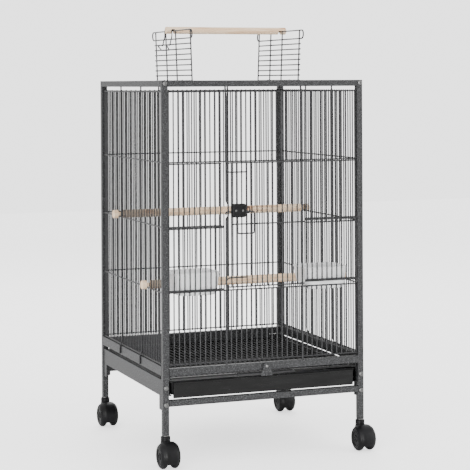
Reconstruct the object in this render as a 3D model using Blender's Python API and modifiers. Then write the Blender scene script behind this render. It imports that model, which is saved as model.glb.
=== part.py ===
"""Bird cage on a rolling stand: tube frame, wire grilles, doors, perches, tray and casters.

Metres, +Z up, the front of the cage faces -Y. Every piece hangs from the empty "cage", whose
own origin is the centre of the frame's square plan at floor level.
"""

import math

import bmesh
import bpy
from mathutils import Vector

# ---- Driving dimensions (metres) ------------------------------------------------------------
CAGE_WIDTH = 0.436        # outside the tube frame, along X
CAGE_DEPTH = 0.436        # outside the tube frame, along Y
FRAME_TOP = 0.762         # top of the tube frame above the floor
TUBE = 0.0127             # square frame tube
TUBE_WALL = 0.001
TUBE_CORNER = 0.0012      # outside corner radius of the tube
GAP = 0.0003              # clearance where two pieces touch
RUN = 0.0005              # clearance round a turning or sliding piece

WIRE = 0.0022             # grille wire
ROD = 0.0032              # thick stiffening rod
PITCH = 0.011             # between grille wires
DOOR_PITCHES = 7.5        # half the front door's opening, in grille pitches
SIDE_ROD = 0.070          # stiffening rods of the side grilles, from the middle
GRILLE_GAP = 0.0007       # between a grille's outer wires and the posts

WIRE_DROP = 0.0093        # top grille wire below the top rail
DOOR_TOP = 0.599          # wire over the front door
FEED_TOP = 0.471          # wire over the feeder doors
FEED_LOW = 0.342          # wire under the doors
WIRE_LOW = 0.199          # lowest grille wire

UPPER_RAIL = (0.178, 0.193)
LOWER_RAIL = (0.118, 0.1306)
SIDE_RAIL = (0.1775, 0.197)
RUNNER = (0.1371, 0.1695)
RUNNER_FOOT = 0.1095      # bottom of the runner's bolted corner brackets
FOOT_REACH = 0.019        # bracket's width along the runner
FOOT_INWARD = 0.0035      # bracket past the post, under the tray
FOOT_ROUND = 0.003
SHEET = 0.0012
LIP = 0.020               # reach of the runner's lips under the tray and the grate
RUNNER_INSET = 0.002      # runner's web inside the frame's outer face

BOLT_HEIGHTS = (0.1215, 0.155)
BOLT_DROP = 0.006         # top bolts below the frame's top
BOLT_R = 0.002
BOLT_HEAD_R = 0.005
BOLT_HEAD = 0.0026
BOLT_PAST = 0.004         # bolt end past the post

DOOR_LOW_GAP = 0.006      # front door's lowest wire above the opening's wire
DOOR_TOP_GAP = 0.002
STOP_LEGS = 0.0186        # height of the hairpin stops at the door's free edge
STOP_ROOT = 0.036         # where the hairpins end, left of the middle
EYE_WALL = 0.0018
EYE_HEIGHT = 0.004
DOOR_MID = 0.4736

BLOCK_X = (-0.074, -0.044)
BLOCK_Z = (0.4876, 0.515)
BLOCK_THICK = 0.012
BOLT_WIRE = 0.0026        # latch bolt and its handle
LATCH_Z = 0.499
LATCH_TIP = 0.0035        # bolt's tip past the keeper
LATCH_TIP_DROP = 0.006
HANDLE_X = (-0.0612, -0.0255)
HANDLE_LOW = 0.455
KEEPER_Z = (0.485, 0.521)

RIGHT_FEEDER_RAISED = 0.0095

CUP_ROD_GAP = 0.0095
CUP_POST_GAP = 0.0173
CUP_DEPTH = 0.078
CUP_Z = (0.333, 0.378)
CUP_WALL = 0.002
CUP_TAPER = 0.86

PERCH_R = 0.00875
PERCH_PAST = 0.010        # perch ends outside the frame
UPPER_PERCH_PITCHES = 8
LOWER_PERCH_PITCHES = -10
NECK = 0.005              # half the length of the groove at each end

TOP_OPENING = (0.120, 0.1175)  # half width and half depth
TOP_DOOR = 0.1115         # hinge to free edge
TOP_DOOR_SPLAY = math.radians(2.0)
TOP_DOOR_WIRES = (-0.115, -0.020, 0.045, 0.115)
TOP_BAND = 0.0175         # stop band along the free edge
TOP_BAND_PAST = 0.015
TOP_EYE_Y = 0.060
TOP_PERCH_R = 0.0075
TOP_PERCH_PAST = 0.013    # ends past the doors
NOTCH_INWARD = 0.004      # room in the perch's notches for the doors to fold away

HOOK_WIRE = 0.0018
HOOK_BEND = 0.0015
HOOK_SHAPE = (            # the hanging hook from eye to eye: along the door, and down from its wire
    (0.036, -0.011), (0.051, -0.030), (0.068, -0.028), (0.081, -0.031), (0.056, -0.040),
    (0.006, -0.040), (0.027, -0.028), (0.003, -0.030), (-0.011, -0.011),
)

GRATE_Z = (0.1706, 0.1736)
GRATE_HANDLE = (0.062, 0.010)  # half width and reach
GRATE_BAR = 0.0035
LUG = (0.007, 0.190)      # half width and top
CATCH_Z = 0.186
CATCH_LOW = 0.1672
CATCH_R = 0.007
CATCH_FOOT = 0.0125

TRAY_Z = (0.1386, 0.167)
TRAY_WALL = 0.002
TRAY_SIDE_GAP = 0.0018
TRAY_FACE = (0.1335, 0.164)   # front panel, deeper than the tray
TRAY_FACE_THICK = 0.003
TRAY_FACE_INSET = 0.010   # panel's ends inside the posts

WHEEL_R = 0.025
WHEEL_WIDTH = 0.0152
WHEEL_INNER = 0.0048
WHEEL_EDGE = 0.002
AXLE_R = 0.003
TRAIL = 0.017
HOOD = 0.002              # thickness of the caster's hood
HOOD_HALF = 0.017
HOOD_LOW = 0.013
WEB_HALF = 0.0028
COLLAR_R = 0.0095
COLLAR_RISE = 0.010       # top of the collar above the wheels
FLANGE = 0.0025           # room for the stem's flange between collar and leg
FLANGE_R = 0.0075
STEM_CLEAR = 0.00135
STEM_IN_LEG = 0.0215

# ---- Sizes that follow ----------------------------------------------------------------------
HALF_W = CAGE_WIDTH / 2
HALF_D = CAGE_DEPTH / 2
POST_X = HALF_W - TUBE / 2
POST_Y = HALF_D - TUBE / 2
IN_X = HALF_W - TUBE
IN_Y = HALF_D - TUBE
TOP_RAIL = (FRAME_TOP - TUBE, FRAME_TOP)
WIRE_TOP = TOP_RAIL[0] - WIRE_DROP
TOP_PLANE = FRAME_TOP - TUBE / 2
STAY_OUT = WIRE + GAP                            # second layer of wires, outside the first
ROD_OUT = WIRE / 2 + GAP + ROD / 2
STOP_OUT = ROD_OUT + ROD / 2 + 2 * GAP + WIRE / 2
DOOR_OUT = STOP_OUT - STAY_OUT
ROD_X = DOOR_PITCHES * PITCH
EYE_IN = ROD / 2 + GAP
FRONT = -POST_Y                                  # plane of the front grille's wires
BLOCK_BACK = FRONT - DOOR_OUT - WIRE / 2 - GAP
LATCH_Y = BLOCK_BACK - BLOCK_THICK / 2
KEEPER_Y = LATCH_Y - (BOLT_WIRE / 2 + RUN + ROD / 2)
HOOD_R = WHEEL_R + RUN + HOOD
PLAN_SHIFT = (TRAIL + HOOD_R - COLLAR_R) / 2     # puts the casters' reach evenly about Y = 0
NECK_R = (PITCH - WIRE) / 2 - GAP
STEM_R = TUBE / 2 - TUBE_WALL - STEM_CLEAR
STEM_LOW = 2 * WHEEL_R + RUN
COLLAR_TOP = 2 * WHEEL_R + COLLAR_RISE
LEG_BOTTOM = COLLAR_TOP + FLANGE
STEM_HIGH = LEG_BOTTOM + STEM_IN_LEG

WALL = {                                         # turns a flat outline into each wall's plane
    "flat": (0.0, 0.0, 0.0),
    "front": (math.pi / 2, 0.0, 0.0),
    "side": (math.pi / 2, 0.0, math.pi / 2),
}

LOOKS = {                                        # colour, roughness, metallic
    "frame": ((0.055, 0.057, 0.060), 0.45, 0.6),
    "wire": ((0.030, 0.031, 0.033), 0.40, 0.5),
    "plastic": ((0.018, 0.018, 0.019), 0.45, 0.0),
    "cup": ((0.86, 0.87, 0.88), 0.30, 0.0),
    "wood": ((0.78, 0.58, 0.40), 0.65, 0.0),
    "zinc": ((0.55, 0.55, 0.54), 0.35, 1.0),
}


# ---- Helpers --------------------------------------------------------------------------------
def clear_scene():
    for old in list(bpy.data.objects):
        bpy.data.objects.remove(old, do_unlink=True)


def new_collection(name):
    group = bpy.data.collections.new(name)
    bpy.context.scene.collection.children.link(group)
    return group


def place(obj, location=(0, 0, 0), rotation=(0, 0, 0), group=None):
    """Links an object and hangs it from the cage's empty."""
    (group or PARTS).objects.link(obj)
    obj.parent = CAGE
    obj.location = location
    obj.rotation_euler = rotation
    return obj


def finish(obj, look):
    """Gives a piece its own material and smooth round faces."""
    colour, roughness, metallic = LOOKS[look]
    skin = bpy.data.materials.new(obj.name)
    skin.use_nodes = True
    shader = skin.node_tree.nodes["Principled BSDF"]
    shader.inputs["Base Color"].default_value = (*colour, 1.0)
    shader.inputs["Roughness"].default_value = roughness
    shader.inputs["Metallic"].default_value = metallic
    obj.data.materials.clear()
    obj.data.materials.append(skin)
    if obj.type == "MESH":
        obj.data.shade_smooth()
        obj.data.set_sharp_from_angle(angle=math.radians(35))
    return obj


def from_bmesh(name, shape):
    mesh = bpy.data.meshes.new(name)
    shape.to_mesh(mesh)
    shape.free()
    return bpy.data.objects.new(name, mesh)


def cube_bmesh(size):
    shape = bmesh.new()
    bmesh.ops.create_cube(shape, size=1.0)
    bmesh.ops.scale(shape, vec=Vector(size), verts=shape.verts)
    return shape


def box(name, low, high, group=None, location=(0, 0, 0), rotation=(0, 0, 0)):
    """A plain block between two corners, in the frame that location and rotation give."""
    low, high = Vector(low), Vector(high)
    shape = cube_bmesh(high - low)
    bmesh.ops.translate(shape, vec=(low + high) / 2, verts=shape.verts)
    return place(from_bmesh(name, shape), location, rotation, group)


def baked(obj):
    """Turns a curve, or a mesh with modifiers, into a plain welded mesh object."""
    bpy.context.view_layer.update()
    view = obj.evaluated_get(bpy.context.evaluated_depsgraph_get())
    mesh = bpy.data.meshes.new_from_object(view)
    shape = bmesh.new()
    shape.from_mesh(mesh)
    bmesh.ops.remove_doubles(shape, verts=shape.verts, dist=0.000001)
    shape.to_mesh(mesh)
    shape.free()
    name = obj.name
    location, rotation = obj.location.copy(), obj.rotation_euler.copy()
    bpy.data.objects.remove(obj, do_unlink=True)
    mesh.name = name
    return place(bpy.data.objects.new(name, mesh), location, rotation)


def combine(base, others, operation="UNION"):
    """Joins or cuts a piece with other shapes, which are used up."""
    for other in others:
        tool = base.modifiers.new(operation.lower(), "BOOLEAN")
        tool.operation = operation
        tool.solver = "EXACT"
        tool.object = other
    result = baked(base)
    for other in others:
        bpy.data.objects.remove(other, do_unlink=True)
    return result


def plate(name, outline, holes=(), thickness=WIRE, location=(0, 0, 0), wall="flat"):
    """A flat shape with holes, centred on its own plane."""
    curve = bpy.data.curves.new(name, "CURVE")
    curve.dimensions = "2D"
    curve.fill_mode = "BOTH"
    curve.extrude = thickness / 2
    for ring in (outline, *holes):
        spline = curve.splines.new("POLY")
        spline.points.add(len(ring) - 1)
        for point, (x, y) in zip(spline.points, ring):
            point.co = (x, y, 0.0, 1.0)
        spline.use_cyclic_u = True
    return baked(place(bpy.data.objects.new(name, curve), location, WALL[wall]))


def rectangle(x0, x1, y0, y1):
    return [(x0, y0), (x1, y0), (x1, y1), (x0, y1)]


def circle(radius, sides, centre=(0.0, 0.0)):
    turns = [2 * math.pi * (i + 0.5) / sides for i in range(sides)]
    return [(centre[0] + radius * math.cos(t), centre[1] + radius * math.sin(t)) for t in turns]


def rounded(points, radius, steps=3):
    """A path whose corners are short arcs."""
    points = [Vector(p) for p in points]
    path = [points[0]]
    for before, corner, after in zip(points, points[1:], points[2:]):
        way_in = (before - corner).normalized()
        way_out = (after - corner).normalized()
        for i in range(steps + 1):
            t = i / steps
            start = corner + way_in * radius
            end = corner + way_out * radius
            path.append((1 - t) ** 2 * start + 2 * t * (1 - t) * corner + t ** 2 * end)
    return [*path, points[-1]]


def wire(name, points, diameter, sides=8, location=(0, 0, 0), cyclic=False):
    curve = bpy.data.curves.new(name, "CURVE")
    curve.dimensions = "3D"
    curve.bevel_depth = diameter / 2
    curve.bevel_resolution = (sides - 4) // 2
    curve.use_fill_caps = True
    spline = curve.splines.new("POLY")
    spline.points.add(len(points) - 1)
    for point, where in zip(spline.points, points):
        point.co = (*where, 1.0)
    spline.use_cyclic_u = cyclic
    return baked(place(bpy.data.objects.new(name, curve), location))


def turned(name, profile, steps, location=(0, 0, 0), rotation=(0, 0, 0)):
    """A round piece: (radius, height) points from top to bottom, turned about local Z."""
    mesh = bpy.data.meshes.new(name)
    edges = [(i, i + 1) for i in range(len(profile) - 1)]
    mesh.from_pydata([(radius, 0.0, height) for radius, height in profile], edges, [])
    obj = place(bpy.data.objects.new(name, mesh), location, rotation)
    screw = obj.modifiers.new("turn", "SCREW")
    screw.angle = 2 * math.pi
    screw.steps = steps
    screw.render_steps = steps
    screw.use_merge_vertices = True
    screw.merge_threshold = 0.00001
    return obj


def cylinder(name, radius, low, high, sides, location=(0, 0, 0), rotation=(0, 0, 0), group=None):
    shape = bmesh.new()
    bmesh.ops.create_cone(shape, cap_ends=True, segments=sides, radius1=radius, radius2=radius,
                          depth=high - low)
    bmesh.ops.translate(shape, vec=(0, 0, (low + high) / 2), verts=shape.verts)
    return place(from_bmesh(name, shape), location, rotation, group)


ALONG_X = (0.0, math.pi / 2, 0.0)
ALONG_Y = (math.pi / 2, 0.0, 0.0)                # local +Z ends up along -Y


def cutter(obj):
    """Hides a cutting shape and moves it to the cutters' collection."""
    for group in list(obj.users_collection):
        group.objects.unlink(obj)
    CUTTERS.objects.link(obj)
    obj.hide_render = True
    obj.display_type = "WIRE"
    return obj


def cut_by(obj, tool):
    cut = obj.modifiers.new("cut", "BOOLEAN")
    cut.operation = "DIFFERENCE"
    cut.solver = "EXACT"
    cut.object = cutter(tool)


# ---- Tube frame -----------------------------------------------------------------------------
def square_tube(name, low, high, open_faces):
    """A hollow tube between two corners, with the faces on the named sides left out."""
    low, high = Vector(low), Vector(high)
    shape = cube_bmesh(high - low)
    along = max(range(3), key=lambda i: (high - low)[i])
    ends = [f for f in shape.faces if abs(f.normal[along]) > 0.5]
    gone = [f for f in ends if ("+" if f.normal[along] > 0 else "-") in open_faces]
    long_edges = [e for e in shape.edges
                  if abs((e.verts[0].co - e.verts[1].co)[along]) > 0.5 * (high - low)[along]]
    bmesh.ops.delete(shape, geom=gone, context="FACES_ONLY")
    bmesh.ops.bevel(shape, geom=long_edges, offset=TUBE_CORNER, segments=1, profile=0.5,
                    affect="EDGES")
    obj = place(from_bmesh(name, shape), (low + high) / 2)
    shell = obj.modifiers.new("wall", "SOLIDIFY")
    shell.thickness = TUBE_WALL
    shell.offset = -1.0
    shell.use_even_offset = True
    return obj


def bolt_heights():
    return (*BOLT_HEIGHTS, FRAME_TOP - BOLT_DROP)


def bolt_holes(name, x, y):
    """Drills through one post, front to back, one for each bolt."""
    drills = bmesh.new()
    for height in bolt_heights():
        drill = bmesh.ops.create_cone(drills, cap_ends=True, segments=8, radius1=BOLT_R + GAP,
                                      radius2=BOLT_R + GAP, depth=2 * TUBE)
        bmesh.ops.translate(drills, vec=(0, height, 0), verts=drill["verts"])
    return place(from_bmesh(name, drills), (x, y, 0), ALONG_Y)


def make_posts():
    for side, sx in (("left", -1), ("right", 1)):
        for end, sy in (("front", -1), ("back", 1)):
            name = f"{end}_{side}_post"
            x, y = sx * POST_X, sy * POST_Y
            low = (x - TUBE / 2, y - TUBE / 2, LEG_BOTTOM)
            high = (x + TUBE / 2, y + TUBE / 2, FRAME_TOP)
            post = square_tube(name, low, high, "-")
            if sy < 0:
                cut_by(post, bolt_holes(name + "_drill", x, y))
            finish(post, "frame")


def cross_rail(name, sy, span):
    """A rail along X between two posts."""
    y = sy * POST_Y
    reach = IN_X - GAP
    low = (-reach, y - TUBE / 2, span[0])
    high = (reach, y + TUBE / 2, span[1])
    finish(square_tube(name, low, high, "+-"), "frame")


def depth_rail(name, sx, span):
    """A rail along Y between two posts."""
    x = sx * POST_X
    reach = IN_Y - GAP
    low = (x - TUBE / 2, -reach, span[0])
    high = (x + TUBE / 2, reach, span[1])
    finish(square_tube(name, low, high, "+-"), "frame")


def make_rails():
    for end, sy in (("front", -1), ("back", 1)):
        cross_rail(f"{end}_top_rail", sy, TOP_RAIL)
        cross_rail(f"{end}_upper_rail", sy, UPPER_RAIL)
        cross_rail(f"{end}_lower_rail", sy, LOWER_RAIL)
    for side, sx in (("left", -1), ("right", 1)):
        depth_rail(f"{side}_top_rail", sx, TOP_RAIL)
        depth_rail(f"{side}_side_rail", sx, SIDE_RAIL)


def bracket(corner, edge, sign, location, wall):
    """Half of a runner's corner bracket: a plate below the web, with its free corner rounded."""
    low, high = RUNNER_FOOT, RUNNER[0] + SHEET / 2
    outline = [(corner, high), (corner, low)]
    outline += [(edge + FOOT_ROUND * (1 - math.sin(t)), low + FOOT_ROUND * (1 - math.cos(t)))
                for t in (0.0, math.pi / 4, math.pi / 2)]
    outline.append((edge, high))
    outline = [(sign * x, z) for x, z in outline]
    return plate("bracket", outline, (), SHEET - GAP / 2, location, wall)


def make_runner(side, sx):
    """Folded channel that carries the tray inside and the grate on top, bolted at both ends."""
    web = HALF_W - RUNNER_INSET
    low, high = RUNNER
    outline = [(web, low), (web, high), (web - LIP, high), (web - LIP, high - SHEET),
               (web - SHEET, high - SHEET), (web - SHEET, low + SHEET),
               (web - LIP, low + SHEET), (web - LIP, low)]
    outline = [(sx * x, z) for x, z in outline]
    reach = IN_Y - GAP
    runner = plate(f"{side}_tray_runner", outline, thickness=2 * reach, wall="front")
    ends = []
    for sy in (-1, 1):
        xs = sorted((sx * (IN_X + GAP), sx * (web - SHEET / 4)))
        ys = sorted((sy * (reach - SHEET), sy * (reach - GAP / 2)))
        flange = box("flange", (xs[0], ys[0], low + SHEET / 3), (xs[1], ys[1], high - SHEET / 3))
        ends.append(flange)
        end = sy * (reach - (SHEET + GAP / 2) / 2)
        ends.append(bracket(web - SHEET / 4, IN_X - FOOT_INWARD, sx, (0, end, 0), "front"))
        sheet = sx * (web - SHEET / 2)
        ends.append(bracket(reach - GAP, reach - FOOT_REACH, sy, (sheet, 0, 0), "side"))
    runner = combine(runner, ends)
    cut_by(runner, bolt_row(f"{side}_runner_drill", sx * POST_X))
    finish(runner, "frame")


def bolt_row(name, x):
    """Long drills that go through both end plates of a runner."""
    drills = bmesh.new()
    for height in BOLT_HEIGHTS:
        drill = bmesh.ops.create_cone(drills, cap_ends=True, segments=8, radius1=BOLT_R + GAP,
                                      radius2=BOLT_R + GAP, depth=CAGE_DEPTH)
        bmesh.ops.translate(drills, vec=(0, height, 0), verts=drill["verts"])
    return place(from_bmesh(name, drills), (x, 0, 0), ALONG_Y)


def make_bolts():
    """Bolts with round heads that go back through the front posts."""
    names = ("lower", "middle", "top")
    face = GAP
    length = TUBE + BOLT_PAST
    profile = [(0.0, face + BOLT_HEAD), (BOLT_HEAD_R, face + BOLT_HEAD * 0.6),
               (BOLT_HEAD_R, face), (BOLT_R, face), (BOLT_R, -length), (0.0, -length)]
    for side, sx in (("left", -1), ("right", 1)):
        for name, height in zip(names, bolt_heights()):
            where = (sx * POST_X, -HALF_D, height)
            finish(turned(f"{side}_{name}_bolt", profile, 10, where, ALONG_Y), "zinc")


# ---- Grilles --------------------------------------------------------------------------------
def wire_places(inside):
    """Wire positions between two posts: one beside each post, and the others at the pitch."""
    edge = inside / 2 - GRILLE_GAP - WIRE / 2
    inner = [PITCH * (i + 0.5) for i in range(math.ceil(edge / PITCH - 1))]
    return [-edge, *[-x for x in reversed(inner)], *inner, edge]


def comb(name, bars, low, high, location, wall):
    """Parallel wires joined by one wire across each end."""
    half = WIRE / 2
    outline = rectangle(bars[0] - half, bars[-1] + half, low - half, high + half)
    holes = [rectangle(a + half, b - half, low + half, high - half)
             for a, b in zip(bars, bars[1:])]
    return plate(name, outline, holes, WIRE, location, wall)


def layered_grille(name, inside, location, wall, out, rods, rod_span):
    """A comb with a second layer outside it: cross wires, two rods and doubled edges."""
    bars = wire_places(inside)
    turn = WALL[wall]
    grille = comb(name, bars, WIRE_LOW, WIRE_TOP, location, wall)
    half = WIRE / 2
    more = []

    def layer(x0, x1, y0, y1, z0, z1):
        depth = sorted((out * z0, out * z1))
        more.append(box("layer", (x0, y0, depth[0]), (x1, y1, depth[1]), None, location, turn))

    for edge in (bars[0], bars[-1]):
        layer(edge - half * 0.9, edge + half * 0.9, WIRE_LOW - half * 0.8, WIRE_TOP + half * 0.8,
              -half * 0.8, STAY_OUT + half * 0.8)
    for height in (FEED_LOW, FEED_TOP, DOOR_TOP):
        layer(bars[0] - half * 0.6, bars[-1] + half * 0.6, height - half, height + half,
              STAY_OUT - half, STAY_OUT + half)
    for x in rods:
        layer(x - ROD / 2, x + ROD / 2, rod_span[0] + GAP, rod_span[1] - GAP,
              ROD_OUT - ROD / 2 + GAP / 3, ROD_OUT + ROD / 2)
    finish(combine(grille, more), "wire")


def make_grilles():
    spare_x, spare_y = 2 * IN_X, 2 * IN_Y
    side_span = (SIDE_RAIL[1], TOP_RAIL[0])
    back_span = (UPPER_RAIL[1], TOP_RAIL[0])
    side_rods = (-SIDE_ROD, SIDE_ROD)
    layered_grille("left_grille", spare_y, (-POST_X, 0, 0), "side", -1, side_rods, side_span)
    layered_grille("right_grille", spare_y, (POST_X, 0, 0), "side", 1, side_rods, side_span)
    layered_grille("back_grille", spare_x, (0, POST_Y, 0), "front", -1, (-ROD_X, ROD_X), back_span)

    front = (0, FRONT, 0)
    bars = wire_places(spare_x)
    outer = [x for x in bars if x > ROD_X + PITCH / 2]
    step = WIRE + GAP
    finish(comb("front_grille_upper", bars, DOOR_TOP, WIRE_TOP, front, "front"), "wire")
    finish(comb("front_grille_lower", bars, WIRE_LOW, FEED_LOW, front, "front"), "wire")
    finish(comb("front_grille_right", outer, FEED_TOP, DOOR_TOP - step, front, "front"), "wire")
    mirrored = [-x for x in reversed(outer)]
    finish(comb("front_grille_left", mirrored, FEED_TOP, DOOR_TOP - step, front, "front"), "wire")


def make_front_rods():
    """The hinge rod, and the keeper rod that bulges outward round the latch bolt."""
    y = FRONT - ROD_OUT
    top, low = TOP_RAIL[0] - GAP, UPPER_RAIL[1] + GAP
    finish(wire("hinge_rod", [(ROD_X, y, top), (ROD_X, y, low)], ROD, 12), "wire")
    bend = 0.004
    path = [(-ROD_X, y, top), (-ROD_X, y, KEEPER_Z[1]),
            (-ROD_X, KEEPER_Y, KEEPER_Z[1] - 2 * bend),
            (-ROD_X, KEEPER_Y, KEEPER_Z[0] + bend), (-ROD_X, y, KEEPER_Z[0]), (-ROD_X, y, low)]
    finish(wire("keeper_rod", rounded(path, bend / 2, 2), ROD, 8), "wire")


def make_top_grille():
    """Wires front to back in the frame's top, round a square opening for the two top doors."""
    bars = wire_places(2 * IN_X)
    wide, deep = TOP_OPENING
    edge = wire_places(2 * IN_Y)[-1]
    half = WIRE / 2
    outline = rectangle(bars[0] - half, bars[-1] + half, -edge - half, edge + half)
    holes = [rectangle(half - wide, wide - half, half - deep, deep - half)]
    for a, b in zip(bars, bars[1:]):
        if min(abs(a), abs(b)) > wide + half:
            holes.append(rectangle(a + half, b - half, half - edge, edge - half))
            continue
        for sy in (-1, 1):
            ys = sorted((sy * (edge - half), sy * (deep + half)))
            holes.append(rectangle(a + half, b - half, *ys))
    beside = min(x for x in bars if x > wide + half)
    for sx in (-1, 1):
        xs = sorted((sx * (wide + half), sx * (beside - half)))
        holes.append(rectangle(*xs, half - deep, deep - half))
    grille = plate("top_grille", outline, holes, WIRE, (0, 0, TOP_PLANE), "flat")
    finish(grille, "wire")


# ---- Front door and feeder doors ------------------------------------------------------------
def eye(name, where, wall, height=EYE_HEIGHT, inner=EYE_IN):
    """A ring that turns on a rod."""
    return plate(name, circle(inner + EYE_WALL, 12), [circle(inner, 12)], height, where, wall)


def hairpin(root, tip, low, legs, where, wall, flip=1):
    """A flat U of wire that lies on its side; its bend, at the tip, points left or right."""
    def half_turn(radius, start, end):
        turns = [start + (end - start) * i / 6 for i in range(7)]
        centre = (tip + legs / 2, low + legs / 2)
        return [(centre[0] + radius * math.cos(t), centre[1] + radius * math.sin(t)) for t in turns]

    outer, inner = (legs + WIRE) / 2, (legs - WIRE) / 2
    quarter = math.pi / 2
    outline = [(root, low - WIRE / 2), (root, low + WIRE / 2)]
    outline += half_turn(inner, -quarter, -3 * quarter)
    outline += [(root, low + legs - WIRE / 2), (root, low + legs + WIRE / 2)]
    outline += half_turn(outer, quarter, 3 * quarter)
    outline = [(flip * x, y) for x, y in outline]
    return plate("hairpin", outline, (), WIRE * 0.9, where, wall)


def make_main_door():
    """Wire door on the hinge rod; its origin is on the hinge axis."""
    bars = [x for x in wire_places(2 * IN_X) if abs(x) < ROD_X - PITCH / 2]
    low, high = FEED_LOW + DOOR_LOW_GAP, DOOR_TOP - DOOR_TOP_GAP
    plane = (0, FRONT - DOOR_OUT, 0)
    door = comb("main_door", bars, low, high, plane, "front")
    half = WIRE / 2
    heights = (low, DOOR_MID, high)
    over = FRONT - STOP_OUT
    more = [box("mid", (bars[0] - half, over - half, DOOR_MID - half),
                (bars[-1] + half, over + half, DOOR_MID + half))]
    reach = ROD_X - (EYE_IN + EYE_WALL / 2)
    for height in heights:
        more.append(box("arm", (bars[-1], FRONT - DOOR_OUT - half * 0.8, height - half * 0.8),
                        (reach, FRONT - DOOR_OUT + half * 0.9, height + half * 0.8)))
    for height in (low + EYE_HEIGHT / 2, DOOR_MID, high - EYE_HEIGHT / 2):
        more.append(eye("eye", (ROD_X, FRONT - ROD_OUT, height), "flat"))
    welds = [(bars[0], DOOR_MID), (bars[-1], DOOR_MID)]
    stop_bar = min(x for x in bars if x > -STOP_ROOT - PITCH / 2)
    for height in (low, high - STOP_LEGS):
        tip = -ROD_X - ROD / 2
        more.append(hairpin(-STOP_ROOT, tip, height, STOP_LEGS, (0, over, 0), "front"))
        welds += [(stop_bar, height), (stop_bar, height + STOP_LEGS)]
    for x, z in welds:
        more.append(box("weld", (x - half * 0.7, over - half * 0.6, z - half * 0.7),
                        (x + half * 0.7, over + STAY_OUT + half * 0.6, z + half * 0.7)))
    finish(combine(door, more), "wire")


def make_latch():
    """Plastic block on the door, and the wire bolt with its hanging handle that slides in it."""
    low = (BLOCK_X[0], LATCH_Y - BLOCK_THICK / 2, BLOCK_Z[0])
    high = (BLOCK_X[1], LATCH_Y + BLOCK_THICK / 2, BLOCK_Z[1])
    block = box("latch_block", low, high)
    round_off = block.modifiers.new("edges", "BEVEL")
    round_off.width = 0.0015
    round_off.segments = 2
    bore = cylinder("latch_bore", BOLT_WIRE / 2 + RUN, -0.05, 0.05, 12,
                    ((BLOCK_X[0] + BLOCK_X[1]) / 2, LATCH_Y, LATCH_Z), ALONG_X)
    cut_by(block, bore)
    finish(block, "plastic")

    tip = -ROD_X - LATCH_TIP
    path = [(tip, LATCH_Z - LATCH_TIP_DROP), (tip, LATCH_Z), (HANDLE_X[1], LATCH_Z),
            (HANDLE_X[1], HANDLE_LOW), (HANDLE_X[0], HANDLE_LOW),
            (HANDLE_X[0], BLOCK_Z[0] - RUN)]
    path = rounded([(x, LATCH_Y, z) for x, z in path], 0.003)
    finish(wire("latch_bolt", path, BOLT_WIRE, 8), "wire")


def make_feeder_doors():
    """Small doors beside the front door that slide up in front of the grille."""
    bars = [x for x in wire_places(2 * IN_X) if x > ROD_X + PITCH / 2]
    mirrored = [-x for x in reversed(bars)]
    plane = FRONT - STAY_OUT
    left = comb("left_feeder_door", mirrored, FEED_LOW, FEED_TOP, (0, plane, 0), "front")
    right = comb("right_feeder_door", bars, FEED_LOW, FEED_TOP,
                 (0, plane, RIGHT_FEEDER_RAISED), "front")
    finish(left, "wire")
    finish(right, "wire")


def make_cup(side, sx):
    """Open cup behind a feeder door; its lip hooks over the wire under the door."""
    width = IN_X - ROD_X - CUP_ROD_GAP - CUP_POST_GAP
    x = sx * (ROD_X + CUP_ROD_GAP + width / 2)
    front = FRONT + WIRE / 2 + 2 * GAP
    height = CUP_Z[1] - CUP_Z[0]
    shape = cube_bmesh((width, CUP_DEPTH, height))
    for vert in shape.verts:
        if vert.co.z < 0:
            vert.co.x *= CUP_TAPER
            vert.co.y -= CUP_DEPTH * (1 - CUP_TAPER) if vert.co.y > 0 else 0.0
    lid = [f for f in shape.faces if f.normal.z > 0.5]
    bmesh.ops.delete(shape, geom=lid, context="FACES_ONLY")
    bmesh.ops.bevel(shape, geom=list(shape.edges), offset=0.006, segments=2, profile=0.5,
                    affect="EDGES")
    cup = place(from_bmesh(f"{side}_cup", shape),
                (x, front + CUP_DEPTH / 2, (CUP_Z[0] + CUP_Z[1]) / 2))
    shell = cup.modifiers.new("wall", "SOLIDIFY")
    shell.thickness = CUP_WALL
    shell.offset = -1.0
    shell.use_even_offset = True
    cup = baked(cup)
    seat = FEED_LOW + WIRE / 2 + GAP
    lip = box("lip", (x - 0.015, FRONT - WIRE * 0.4, seat), (x + 0.015, front + CUP_WALL * 0.6,
                                                            seat + 0.003))
    finish(combine(cup, [lip]), "cup")


# ---- Perches --------------------------------------------------------------------------------
def make_perch(name, pitches, rest):
    """Dowel across the cage; a groove near each end drops between two side wires."""
    end = HALF_W + PERCH_PAST
    groove = POST_X + STAY_OUT / 2
    half = [(0.0, end), (PERCH_R, end), (PERCH_R, groove + NECK),
            (NECK_R, groove + NECK), (NECK_R, groove - NECK), (PERCH_R, groove - NECK)]
    profile = half + [(radius, -x) for radius, x in reversed(half)]
    height = rest + WIRE / 2 + GAP + NECK_R
    perch = turned(name, profile, 16, (0, pitches * PITCH, height), ALONG_X)
    finish(perch, "wood")


def top_edge():
    """Where a top door's free wire stands: distance from the middle, and height."""
    return (TOP_OPENING[0] + TOP_DOOR * math.sin(TOP_DOOR_SPLAY),
            TOP_PLANE + TOP_DOOR * math.cos(TOP_DOOR_SPLAY))


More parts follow.
